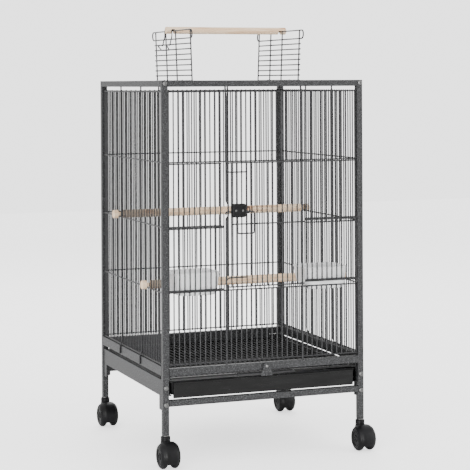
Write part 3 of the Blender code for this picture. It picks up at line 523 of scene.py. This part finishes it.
def make_grilles():
    """Side and back grilles with their rods; the side rods step out over the side rails."""
    half = WIRE / 2
    rows = [(z, LAYER) for z in (WIRE_LOW + half, WIRE_TOP - half, FEED_LOW - half, FEED_TOP + half,
                                 DOOR_TOP + half)]
    low, high = WIRE_LOW - 0.001, WIRE_TOP + 0.001
    panel("left_wires", left, PLACES, low, high, rows, ["left_grille"])
    panel("right_wires", right, PLACES, low, high, rows, ["right_grille"])
    panel("back_wires", back, PLACES, low, high, rows, ["back_grille"])
    foot = HALF - WALL_PLANE + SIDE_ROD / 2
    for name, where in (("left_rods", left), ("right_rods", right)):
        runs = []
        for y in (-SIDE_ROD_Y, SIDE_ROD_Y):
            path = [where(y, RAIL_LOW, ROD_OUT), where(y, SIDE_RAIL[1] + 0.010, ROD_OUT),
                    where(y, SIDE_RAIL[1], foot), where(y, SIDE_RAIL[0] + 0.003, foot)]
            runs.append(bent(path, 0.004))
        settle(wires(name, runs, SIDE_ROD), BLACK_WIRE, "cage")
    runs = [[back(x, RAIL_LOW, ROD_OUT), back(x, UPPER_RAIL[1], ROD_OUT)] for x in (-ROD_X, ROD_X)]
    settle(wires("back_rods", runs, ROD), BLACK_WIRE, "cage")


def make_front():
    """The front grille's four fields, round the doors."""
    half = WIRE / 2
    panel("front_upper_wires", front, PLACES, DOOR_TOP + half, WIRE_TOP,
          [(DOOR_TOP + half, 0.0), (WIRE_TOP - half, LAYER)], ["front_grille_upper"])
    panel("front_lower_wires", front, PLACES, WIRE_LOW, FEED_LOW - half,
          [(WIRE_LOW + half, LAYER), (FEED_LOW - half, 0.0)], ["front_grille_lower"])
    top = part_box("front_grille_left")[1].z - half
    for side, _, places in outer_places():
        panel(f"front_{side}_wires", front, places, FEED_TOP + half, top,
              [(FEED_TOP + half, 0.0), (top, 0.0)], [f"front_grille_{side}"])


def make_front_rods():
    """The hinge rod, and the keeper rod that bulges outward round the latch bolt."""
    low, high = UPPER_RAIL[1], RAIL_LOW
    bend, kink = high - 0.018, 0.0025
    hinge = [front(ROD_X - kink, high, ROD_OUT), front(ROD_X, bend, ROD_OUT),
             front(ROD_X, low, ROD_OUT)]
    settle(wires("hinge_rod_wire", [bent(hinge, 0.006)], ROD, smooth=4), BLACK_WIRE, "cage",
           ["hinge_rod"])
    bulge = -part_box("keeper_rod")[0].y + MIDDLE_Y - ROD / 2 - WALL_PLANE
    bottom, top = KEEPER_BULGE
    slope = 0.006
    keeper = [front(-ROD_X - kink * 0.6, high, ROD_OUT), front(-ROD_X, bend, ROD_OUT),
              front(-ROD_X, top, ROD_OUT), front(-ROD_X, top - slope, bulge),
              front(-ROD_X, bottom + slope, bulge), front(-ROD_X, bottom, ROD_OUT),
              front(-ROD_X, low, ROD_OUT)]
    settle(wires("keeper_rod_wire", [bent(keeper, 0.004)], ROD, smooth=4), BLACK_WIRE, "cage",
           ["keeper_rod"])


def make_roof():
    """Wires front to back round the roof opening."""
    runs = []
    for x in PLACES:
        if abs(x) > HINGE_X:
            runs.append([(x, -INSIDE, ROOF), (x, INSIDE, ROOF)])
        else:
            runs += [[(x, -INSIDE, ROOF), (x, -OPENING_Y, ROOF)],
                     [(x, OPENING_Y, ROOF), (x, INSIDE, ROOF)]]
    for x in (-HINGE_X, HINGE_X):
        runs.append([(x, -EDGE, ROOF), (x, EDGE, ROOF)])
    for y in (-EDGE, -OPENING_Y, OPENING_Y, EDGE):
        runs.append([(-EDGE - WIRE / 2, y, ROOF - LAYER), (EDGE + WIRE / 2, y, ROOF - LAYER)])
    settle(wires("roof_wires", runs), BLACK_WIRE, "cage", ["top_grille"])


# ---- Front door and latch -------------------------------------------------------------------
def make_door():
    """Front door: upright wires, three level wires that hook round the hinge rod, and two stops."""
    bars = [x for x in PLACES if abs(x) < ROD_X - PITCH / 2]
    low, high = DOOR_LOW.z + WIRE / 2, DOOR_HIGH.z - WIRE / 2
    over = DOOR_OUT + WIRE
    runs = [[front(x, low - 0.001, DOOR_OUT), front(x, high + 0.001, DOOR_OUT)] for x in bars]
    loop = over - ROD_OUT
    for z in (low, DOOR_MIDDLE, high):
        hook = arc(front(ROD_X, z, ROD_OUT), loop, -90, 185, (1, 0, 0), (0, 1, 0), 16)
        runs.append([front(bars[0] - WIRE / 2, z, over), *hook])
    stop_radius, tip, root = 0.0093, -ROD_X - ROD / 2, -0.0385
    for z in (low + stop_radius, high - stop_radius):
        bend = arc(front(tip + stop_radius, z, over + LAYER * 0.3), stop_radius, 270, 90,
                   (1, 0, 0), (0, 0, 1), 14)
        runs.append([front(root, z - stop_radius, over), *bend, front(root, z + stop_radius, over)])
    settle(wires("main_door_wires", runs), BLACK_WIRE, "front_door", ["main_door"])


def make_latch():
    """Latch block with two bosses and a small loop, and its sliding bolt with a hanging handle."""
    low, high = centred_box("latch_block")
    face = low.y
    middle_x, y, middle_z = (low + high) / 2
    pieces = [soft_box("latch_block_body", low, high, 0.0042, 5)]
    rib_inset, rib_half, rib_end = 0.0045, 0.0022, 0.002
    for z in (low.z + rib_inset, high.z - rib_inset):
        pieces.append(soft_box("rib", (low.x + rib_end, face - 0.0012, z - rib_half),
                               (high.x - rib_end, face + 0.002, z + rib_half), 0.001, 3))
    settle(join("latch_block_moulding", pieces), PLASTIC, "front_door", ["latch_block"])
    boss = [(0.0, 0.0008), (0.0010, 0.0008), (0.0012, 0.0014), (0.0021, 0.0013), (0.0024, 0.0),
            (0.0, 0.0)]
    for number, offset in ((1, -0.0078), (2, 0.0066)):
        screw = turned(f"latch_screw_{number}", boss, 24, (middle_x + offset, face, middle_z),
                       (math.pi / 2, 0, 0))
        settle(screw, ZINC, "front_door")
    guard_root, guard_tip = high.x - 0.001, high.x + 0.009
    guard_high, guard_low = BOLT_Z + 0.009, BOLT_Z - 0.003
    loop = [(guard_root, y, guard_high), (guard_tip, y, guard_high), (guard_tip, y, guard_low),
            (guard_root, y, guard_low)]
    settle(wires("latch_guard", [bent(loop, 0.005)], 0.0028), BLACK_WIRE, "front_door")

    tip = -ROD_X - 0.0035
    handle_left, handle_right, handle_low = -0.0612, -0.0255, 0.455
    path = [(tip, y, BOLT_Z - 0.006), (tip, y, BOLT_Z), (handle_right, y, BOLT_Z),
            (handle_right, y, handle_low), (handle_left, y, handle_low), (handle_left, y, low.z)]
    bolt = wires("latch_bolt_wire", [bent(path, 0.0045, 8)], 0.0030, smooth=4)
    settle(bolt, BLACK_WIRE, "latch", ["latch_bolt"])


def make_feeders():
    """Feeder doors that slide up in front of the grille, the right one a little open."""
    half = WIRE / 2
    clear_of_rod = ROD_X + 0.0055
    for side, sx, places in outer_places():
        lowest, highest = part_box(f"{side}_feeder_door")
        low, high = lowest.z + half, highest.z - half
        rows = [(z, FEEDER_OUT + LAYER) for z in (low, low + WIRE, high - WIRE, high)]
        runs = [[front(x, low - 0.001, FEEDER_OUT), front(x, high + 0.001, FEEDER_OUT)]
                for x in places]
        first, last = sorted((sx * clear_of_rod, sx * (EDGE + half)))
        runs += [[front(first, z, out), front(last, z, out)] for z, out in rows]
        settle(wires(f"{side}_feeder_wires", runs), BLACK_WIRE, f"{side}_feeder",
               [f"{side}_feeder_door"])


# ---- Cups and perches -----------------------------------------------------------------------
def make_cup(side):
    """Rounded cup with a rolled rim, deeper at the front, and a lip over the wire."""
    low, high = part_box(f"{side}_cup")
    wall, radius = 0.0018, 0.012
    front_y = low.y - MIDDLE_Y + 0.0016
    back_y = high.y - MIDDLE_Y
    centre_x, half_x = (low.x + high.x) / 2, (high.x - low.x) / 2
    depth = back_y - front_y
    under_rim = high.z - 0.003
    halfway = (low.z + under_rim) / 2

    def ring(z, share, inset):
        reach = depth * share / 2
        middle = (centre_x, front_y + 0.0005 + reach, z)
        return rounded_rectangle(half_x * share - inset, reach - inset, radius, middle)

    outside = [ring(low.z, 0.80, 0.006), ring(low.z + 0.0012, 0.845, 0.002),
               ring(low.z + 0.006, 0.868, 0.0), ring(halfway, 0.92, 0.0),
               ring(under_rim, 0.975, 0.0)]
    rim = [ring(under_rim, 1.0, 0.0), ring(high.z - 0.0006, 1.0, 0.0),
           ring(high.z, 1.0, 0.0008), ring(high.z, 0.975, wall * 0.6),
           ring(high.z - 0.0015, 0.97, wall)]
    inside = [ring(halfway, 0.92, wall), ring(low.z + 0.009, 0.868, wall),
              ring(low.z + wall + 0.0012, 0.84, wall + 0.002),
              ring(low.z + wall, 0.80, wall + 0.005)]
    cup = loft(f"{side}_cup_moulding", outside + rim + inside, 50)
    lip = soft_box("lip", (centre_x - 0.015, -WALL_PLANE - 0.0008, FEED_LOW + 0.0004),
                   (centre_x + 0.015, front_y + 0.0014, FEED_LOW + 0.0034), 0.0008, 3)
    settle(join(f"{side}_cup_body", [cup, lip]), CUP, f"{side}_food_cup", [f"{side}_cup"])


def dowel(name, node, half):
    """A turned dowel in a CAD perch's place; half is its profile from one end to the middle."""
    low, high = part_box(node)
    centre = (0, (low.y + high.y) / 2 - MIDDLE_Y, (low.z + high.z) / 2)
    profile = half + [(r, -x) for r, x in reversed(half)]
    return turned(name, profile, 48, centre, (0, math.pi / 2, 0), 30)


def make_perch(name):
    """Dowel with chamfered ends and a groove near each end that sits between two side wires."""
    low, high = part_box(name)
    end, radius = high.x, (high.z - low.z) / 2
    neck, groove, chamfer = 0.0041, WALL_PLANE + 0.0012, 0.0012
    half = [(0.0, end), (radius - chamfer, end), (radius, end - chamfer),
            (radius, groove + 0.0052), (neck, groove + 0.0046),
            (neck, groove - 0.0046), (radius, groove - 0.0052)]
    settle(dowel(f"{name}_dowel", name, half), PINE, "cage", [name])


def make_top_perch():
    """Dowel over the open roof doors, notched underneath for their wires."""
    low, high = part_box("top_perch")
    end, radius, chamfer = high.x, (high.z - low.z) / 2, 0.001
    half = [(0.0, end), (radius - chamfer, end), (radius, end - chamfer)]
    perch = dowel("top_perch_dowel", "top_perch", half)
    play, width = 0.0004, 0.0072
    edge = FREE_EDGE_X + WIRE / 2 + play
    for sx in (-1, 1):
        first, last = sorted((sx * edge, sx * (edge - width)))
        notch = soft_box("notch", (first, -0.02, low.z - 0.02), (last, 0.02, FREE_EDGE + play),
                         0.0003, 1)
        cut = perch.modifiers.new("notch", "BOOLEAN")
        cut.operation = "DIFFERENCE"
        cut.object = notch
        bpy.context.view_layer.objects.active = perch
        bpy.ops.object.modifier_apply(modifier=cut.name)
        bpy.data.objects.remove(notch, do_unlink=True)
    perch.data.set_sharp_from_angle(angle=math.radians(30))
    settle(perch, PINE, "stand_perch", ["top_perch"])


# ---- Roof doors -----------------------------------------------------------------------------
def make_roof_door(side, sx):
    """Wire ladder on its hinge wire, with a long round-ended stop loop along the free edge."""
    lean = Matrix.Rotation(sx * DOOR_SPLAY, 3, "Y")
    hinge = Vector((sx * HINGE_X, 0, ROOF))

    def at(y, up, out=0.0):
        return hinge + lean @ Vector((-sx * out, y, up))

    uprights, overhang = (-0.1140, -0.020, 0.045, 0.1140), 0.0018
    radius, past, rungs = 0.00875, 0.130, 8
    band = DOOR_LENGTH - 2 * radius
    low = band - PITCH * rungs
    runs = [[at(y, low - 0.003, LAYER), at(y, DOOR_LENGTH, LAYER)] for y in uprights]
    for step in range(rungs):
        z = low + PITCH * step
        runs.append([at(uprights[0] - overhang, z), at(uprights[-1] + overhang, z)])
    settle(wires(f"{side}_roof_door_wires", runs), BLACK_WIRE, f"{side}_roof_door",
           [f"{side}_top_door"])
    centre = band + radius
    up = lean @ Vector((0, 0, 1))
    loop = arc(at(past - radius, centre), radius, -90, 90, (0, 1, 0), up)
    loop += arc(at(radius - past, centre), radius, 90, 270, (0, 1, 0), up)
    stop = wires(f"{side}_roof_door_loop", [loop], WIRE, closed=True)
    settle(stop, BLACK_WIRE, f"{side}_roof_door")
    runs = []
    for y in (-0.060, 0.060):
        ring = arc(at(y, 0.0), WIRE, -60, 265, lean @ Vector((1, 0, 0)), up, 18)
        runs.append([*ring, at(y, low + 0.002, -0.0003)])
    settle(wires(f"{side}_roof_door_eyes", runs), BLACK_WIRE, f"{side}_roof_door")


def make_hook():
    """Bent wire hanging from the left roof door's free wire, which clips the closed doors."""
    wire, over = 0.0025, 0.0029
    middle = Vector((-FREE_EDGE_X, 0, FREE_EDGE - WIRE / 2))
    hanging = [(0.036, -0.011), (0.051, -0.030), (0.068, -0.028), (0.081, -0.031),
               (0.056, -0.040), (0.006, -0.040), (0.027, -0.028), (0.003, -0.030),
               (-0.011, -0.011)]
    first, last = hanging[0][0], hanging[-1][0]
    path = [(over, first, 0.0), (over, first, over), (-over, first, over)]
    path += [(-over, y, z) for y, z in hanging]
    path += [(-over, last, over), (over, last, over), (over, last, 0.0)]
    path = [middle + Vector(point) for point in path]
    settle(wires("roof_hook_wire", [bent(path, 0.002, 5)], wire), BLACK_WIRE, "roof_hook",
           ["top_door_hook"])


# ---- Grate and tray -------------------------------------------------------------------------
def make_grate():
    """Floor grate: a rim wire, wires front to back on cross wires, and a pull at the front."""
    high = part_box("floor_grate")[1]
    inset, z, edge_radius = 0.0016, GRATE_Z, 0.0005
    side, rear = high.x - inset, high.y - MIDDLE_Y - inset
    ahead = -INSIDE - TUBE / 2
    rim = bent([(-side, rear, z), (side, rear, z), (side, ahead, z), (-side, ahead, z)], 0.006,
               closed=True)
    # The grate's rim and wires take the darker copy of the wire coat, which is painted shade.
    settle(wires("grate_rim", [rim], 0.003, closed=True), SHADED_GRATE_WIRE, "grate", ["floor_grate"])
    bars = [x for x in PLACES if abs(x) < side - PITCH / 2]
    runs = [[(x, ahead, z), (x, rear, z)] for x in bars]
    rows = (-0.15, -0.075, 0.0, 0.075, 0.15)
    runs += [[(-side, y, z - LAYER + 0.0004), (side, y, z - LAYER + 0.0004)] for y in rows]
    settle(wires("grate_wires", runs, 0.002), SHADED_GRATE_WIRE, "grate")
    wide, reach = 0.062, 0.010
    pull = [(-wide, ahead, z), (-wide, ahead - reach, z), (wide, ahead - reach, z),
            (wide, ahead, z)]
    settle(wires("grate_pull", [bent(pull, 0.006, 8)], 0.003, smooth=4), BLACK_WIRE, "grate")
    strip, turned_up, short = 0.009, 0.010, 0.025
    for name, x0, x1 in (("left", -side, -wide), ("right", wide, side)):
        front_strip = soft_box(f"grate_{name}_strip", (x0, ahead, z),
                               (x1, ahead + strip, z + SHEET), edge_radius, 2)
        settle(front_strip, PAINT, "grate")
    rear_boxes = [((-side, rear - strip, z), (side, rear, z + SHEET)),
                  ((-side, rear - SHEET, TRAY_TOP + 0.0001), (side, rear, UPPER_RAIL[0] + 0.0005)),
                  ((-side, rear - 2 * SHEET, z), (side - short, rear - SHEET / 2, z + turned_up))]
    rear_pieces = [soft_box("strip", low, top, edge_radius, 2) for low, top in rear_boxes]
    settle(join("grate_rear_strip", rear_pieces), PAINT, "grate")
    for name, x0, x1 in (("left", -side - SHEET, -side), ("right", side, side + SHEET)):
        edge = soft_box(f"grate_edge_{name}", (x0, ahead, z - 0.001),
                        (x1, rear, UPPER_RAIL[0] - 0.0003), 0.0003, 2)
        settle(edge, PAINT, "grate")
    lug_half, lug_y, lug_top = 0.007, ahead - reach, 0.190
    lug = soft_box("grate_lug", (-lug_half, lug_y - SHEET, z - 0.001),
                   (lug_half, lug_y + SHEET, lug_top), 0.0006, 2)
    settle(lug, PAINT, "grate")
    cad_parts["grate_catch"].material_slots[0].material = PAINT
    rivet = [(0.0, 0.0021), (0.0018, 0.0018), (0.0028, 0.0010), (0.0030, 0.0), (0.0, 0.0)]
    where = (0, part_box("grate_catch")[0].y + SHEET - MIDDLE_Y, lug_top - 0.004)
    settle(turned("catch_rivet", rivet, 24, where, (math.pi / 2, 0, 0)), ZINC, "catch")


def make_tray():
    """Moulded tray with rounded corners, a rolled rim and a deeper, glossy front panel."""
    low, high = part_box("tray")
    side, rear, ahead = high.x, high.y - MIDDLE_Y, low.y - MIDDLE_Y + 0.003
    wall, base, top = 0.002, TRAY_BASE, TRAY_TOP
    centre_y, half_y = (rear + ahead) / 2, (rear - ahead) / 2

    def ring(z, inset):
        return rounded_rectangle(side - inset, half_y - inset, 0.008, (0, centre_y, z))

    rings = [ring(base, 0.008), ring(base + 0.0008, 0.0055), ring(base + 0.003, 0.0042),
             ring(top - 0.003, 0.0020), ring(top - 0.0028, 0.0), ring(top - 0.0006, 0.0),
             ring(top, 0.0008), ring(top, 0.0030), ring(top - 0.0012, 0.0040),
             ring(base + 0.006, 0.0062), ring(base + wall + 0.001, 0.0082),
             ring(base + wall, 0.0110)]
    body = loft("tray_body", rings, 50)
    reach = side - 0.0082
    face_low, face_high = 0.1335, 0.164
    face = soft_box("panel", (-reach, ahead - 0.003, face_low), (reach, ahead + 0.0015, face_high),
                    0.0014, 3)
    lip = soft_box("lip", (-reach, ahead - 0.0042, face_high - 0.0032),
                   (reach, ahead, face_high + 0.0008), 0.0012, 3)
    settle(body, PLASTIC, "tray", ["tray"])
    settle(join("tray_front_panel", [face, lip]), GLOSS, "tray")


# ---- Casters --------------------------------------------------------------------------------
def make_caster(end, side):
    """Twin-wheel caster: hood and collar, two wheels with ringed faces, and a plated stem."""
    name = f"{end}_{side}_caster"
    x = WALL_PLANE * (-1 if side == "left" else 1)
    y = WALL_PLANE * (-1 if end == "front" else 1)
    wheel_low, wheel_high = centred_box(f"{name}_wheels")
    axle = (wheel_low + wheel_high) / 2
    radius = wheel_high.z / 2
    across = (0, math.pi / 2, 0)
    outer, inner = 0.0200, 0.0050
    half = [(0.0, outer - 0.0022), (0.0034, outer - 0.0022), (0.0044, outer - 0.0006),
            (0.0062, outer - 0.0004), (0.0072, outer - 0.0020), (0.0130, outer - 0.0022),
            (0.0142, outer - 0.0008), (0.0160, outer - 0.0006), (0.0172, outer - 0.0014),
            (0.0195, outer - 0.0008)]
    tread = (outer - 0.0008 - inner) / 2
    half += [(radius - TREAD_DROP * (1 - math.sin(math.radians(t))),
              inner + tread * (1 + math.cos(math.radians(t)))) for t in range(15, 180, 15)]
    half.append((0.004, inner))
    profile = half + [(r, -h) for r, h in reversed(half)]
    wheels = turned(f"{name}_wheel_pair", profile, 56, axle, across, 40)
    settle(wheels, PLASTIC, f"{end}_{side}_wheels", [f"{name}_wheels"])

    reach = radius + 0.0025
    hood = [(radius - 0.002, 0.0158), (reach - 0.0012, 0.0125), (reach, 0.008), (reach, 0.0)]
    section = hood + [(r, -h) for r, h in reversed(hood[:-1])]
    section += [(r - 0.0018, h * 0.985) for r, h in reversed(section)]
    first_turn, last_turn, steps = -28, 205, 30
    rings = []
    for i in range(steps + 1):
        turn = math.radians(first_turn + (last_turn - first_turn) * i / steps)
        rings.append([(axle.x + h, axle.y - r * math.cos(turn), axle.z + r * math.sin(turn))
                      for r, h in section])
    shell = loft("shell", rings, 40)
    web_low, web_half = 0.0135, 0.0036
    web = turned("web", [(0.0, web_half), (reach - 0.001, web_half), (reach - 0.001, -web_half),
                         (0.0, -web_half)], 40, axle, across)
    trimmed = bmesh.new()
    trimmed.from_mesh(web.data)
    everything = trimmed.verts[:] + trimmed.edges[:] + trimmed.faces[:]
    cut = bmesh.ops.bisect_plane(trimmed, geom=everything, plane_co=(0, 0, web_low),
                                 plane_no=(0, 0, -1), clear_outer=True)
    rim = [item for item in cut["geom_cut"] if isinstance(item, bmesh.types.BMEdge)]
    bmesh.ops.contextual_create(trimmed, geom=rim)
    trimmed.to_mesh(web.data)
    trimmed.free()
    collar = turned("collar", [(0.0, 0.060), (0.0086, 0.060), (0.0095, 0.0591), (0.0095, 0.050),
                               (0.0102, 0.046), (0.0120, 0.042), (0.0120, 0.036), (0.0, 0.036)],
                    36, (x, y, 0), (0, 0, 0), 30)
    housing = join(f"{name}_hood", [shell, web, collar])
    settle(housing, PLASTIC, f"{end}_{side}_swivel", [f"{name}_housing"])
    ring_profile = [(0.0, 0.0625), (0.0060, 0.0625), (0.0074, 0.0621), (0.0078, 0.0612),
                    (0.0074, 0.0603), (0.0045, 0.0603), (0.0045, 0.0510), (0.0, 0.0510)]
    stem = turned(f"{name}_ring", ring_profile, 32, (x, y, 0))
    settle(stem, ZINC, "cage", [f"{name}_stem"])


# ---- Build ----------------------------------------------------------------------------------
make_frame()
make_bolts()
make_grilles()
make_front()
make_front_rods()
make_roof()
make_door()
make_latch()
make_feeders()
for cup_side in ("left", "right"):
    make_cup(cup_side)
for perch_name in ("upper_perch", "lower_perch"):
    make_perch(perch_name)
make_top_perch()
for door_side, door_sign in (("left", -1), ("right", 1)):
    make_roof_door(door_side, door_sign)
make_hook()
make_grate()
make_tray()
for caster_end in ("front", "back"):
    for caster_side in ("left", "right"):
        make_caster(caster_end, caster_side)


# ---- Studio ---------------------------------------------------------------------------------
def make_floor():
    shape = bmesh.new()
    bmesh.ops.create_grid(shape, x_segments=2, y_segments=2, size=6.0)
    mesh = bpy.data.meshes.new("studio_floor")
    shape.to_mesh(mesh)
    shape.free()
    floor = bpy.data.objects.new("studio_floor", mesh)
    bpy.context.scene.collection.objects.link(floor)
    floor.data.materials.append(floor_paint())


def light(name, kind, place, target, power):
    """A lamp aimed at a point."""
    lamp = bpy.data.lights.new(name, kind)
    lamp.energy = power
    holder = bpy.data.objects.new(name, lamp)
    bpy.context.scene.collection.objects.link(holder)
    holder.location = place
    holder.rotation_euler = (Vector(target) - Vector(place)).to_track_quat("-Z", "Y").to_euler()
    return lamp


def make_lights():
    """Three soft lights, and a soft spot on the stand that fades out up the cage."""
    light("key", "AREA", (-2.4, -2.6, 1.5), (0, 0, 0.3), 60).size = 1.6
    spot = light("low_spot", "SPOT", (-1.9, -2.9, 0.25), (0, -0.2, 0.08), 420)
    spot.spot_size = math.radians(17)
    spot.spot_blend = 1.0
    spot.shadow_soft_size = 0.35
    light("fill", "AREA", (2.2, -1.8, 1.2), (0, 0, 0.4), 35).size = 2.0
    light("rim", "AREA", (0.6, 2.4, 2.4), (0, 0, 0.5), 40).size = 1.6


def make_camera():
    """Level camera at the height of the cage's roof, shifted down to take in the casters."""
    lens = bpy.data.cameras.new("camera")
    lens.lens = 123.0
    lens.sensor_width = 36.0
    lens.shift_y = -0.324
    holder = bpy.data.objects.new("camera", lens)
    bpy.context.scene.collection.objects.link(holder)
    holder.location = (-1.210, MIDDLE_Y - 3.223, 0.757)
    holder.rotation_euler = (math.pi / 2, math.radians(0.27), math.radians(-20.88))
    bpy.context.scene.camera = holder


def make_world():
    world = bpy.data.worlds.new("studio")
    world.use_nodes = True
    tree = world.node_tree
    backdrop = tree.nodes["Background"]
    backdrop.inputs["Color"].default_value = (1.0, 1.0, 1.0, 1.0)
    tree.links.new(seen_by_camera(tree, BACKDROP, DAYLIGHT), backdrop.inputs["Strength"])
    bpy.context.scene.world = world


make_floor()
make_world()
make_lights()
make_camera()
